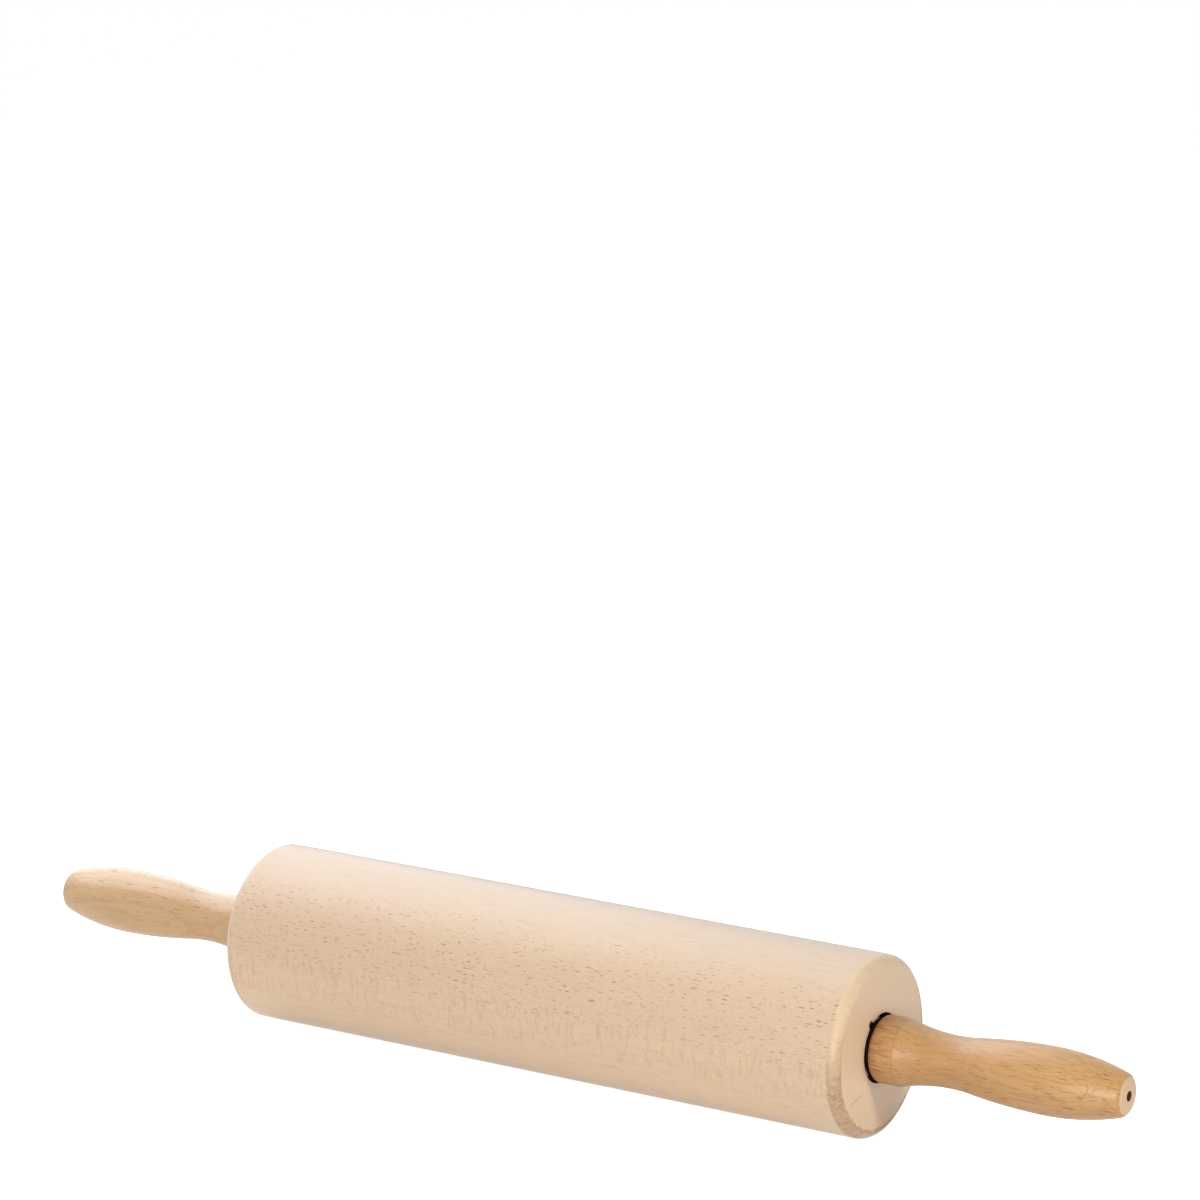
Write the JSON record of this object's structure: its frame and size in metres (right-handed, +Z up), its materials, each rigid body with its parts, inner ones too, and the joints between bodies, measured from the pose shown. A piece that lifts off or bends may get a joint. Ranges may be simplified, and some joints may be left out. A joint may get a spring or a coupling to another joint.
{
  "type": "rolling pin",
  "caption": "Rolling pin: a thick beech barrel turns on shielded ball bearings, on a steel axle held between turned, lacquered beech handles.",
  "frame": {"origin": "middle of the pin, on its axis", "axes": "+X along the axis towards the right handle, +Z up as the pin lies on a table, +Y away from the baker"},
  "size_m": [0.434, 0.063, 0.063],
  "materials": {
    "raw_beech": "sanded, unlacquered",
    "lacquered_beech": "clear satin lacquer",
    "turned_steel": "turned",
    "bearing_steel": "ground and polished",
    "spring_steel": "black phosphate",
    "brass": "turned",
    "cage_nylon": "moulded"
  },
  "bodies": {
    "handles_and_axle": {"handle_right": "lacquered_beech", "handle_left": "lacquered_beech", "axle_rod": "turned_steel", "threaded_insert_left": "brass", "threaded_insert_right": "brass", "load_washer_left": "spring_steel", "load_washer_right": "spring_steel", "spacer_sleeve_left": "turned_steel", "spacer_sleeve_right": "turned_steel", "retaining_ring_left": "spring_steel", "retaining_ring_right": "spring_steel", "bearing_inner_ring_left": "bearing_steel", "bearing_inner_ring_right": "bearing_steel"},
    "barrel": {"barrel": "raw_beech", "bearing_outer_ring_left": "bearing_steel", "bearing_outer_ring_right": "bearing_steel", "bearing_shield_outboard_left": "turned_steel", "bearing_shield_outboard_right": "turned_steel", "bearing_shield_inboard_left": "turned_steel", "bearing_shield_inboard_right": "turned_steel"},
    "ball_train_left": {"bearing_balls_left": "bearing_steel", "bearing_cage_left": "cage_nylon"},
    "ball_train_right": {"bearing_balls_right": "bearing_steel", "bearing_cage_right": "cage_nylon"}
  },
  "joints": [
    {"name": "barrel_spin", "type": "hinge", "parent": "handles_and_axle", "child": "barrel", "pos_m": [0, 0, 0], "axis": [1, 0, 0], "continuous": true},
    {"name": "ball_train_left_spin", "type": "hinge", "parent": "handles_and_axle", "child": "ball_train_left", "pos_m": [-0.11725, 0, 0], "axis": [1, 0, 0], "continuous": true},
    {"name": "ball_train_right_spin", "type": "hinge", "parent": "handles_and_axle", "child": "ball_train_right", "pos_m": [0.11725, 0, 0], "axis": [1, 0, 0], "continuous": true}
  ],
  "couplings": [
    {"joint": "ball_train_left_spin", "follows": "barrel_spin", "ratio": 0.64875},
    {"joint": "ball_train_right_spin", "follows": "barrel_spin", "ratio": 0.64875}
  ]
}
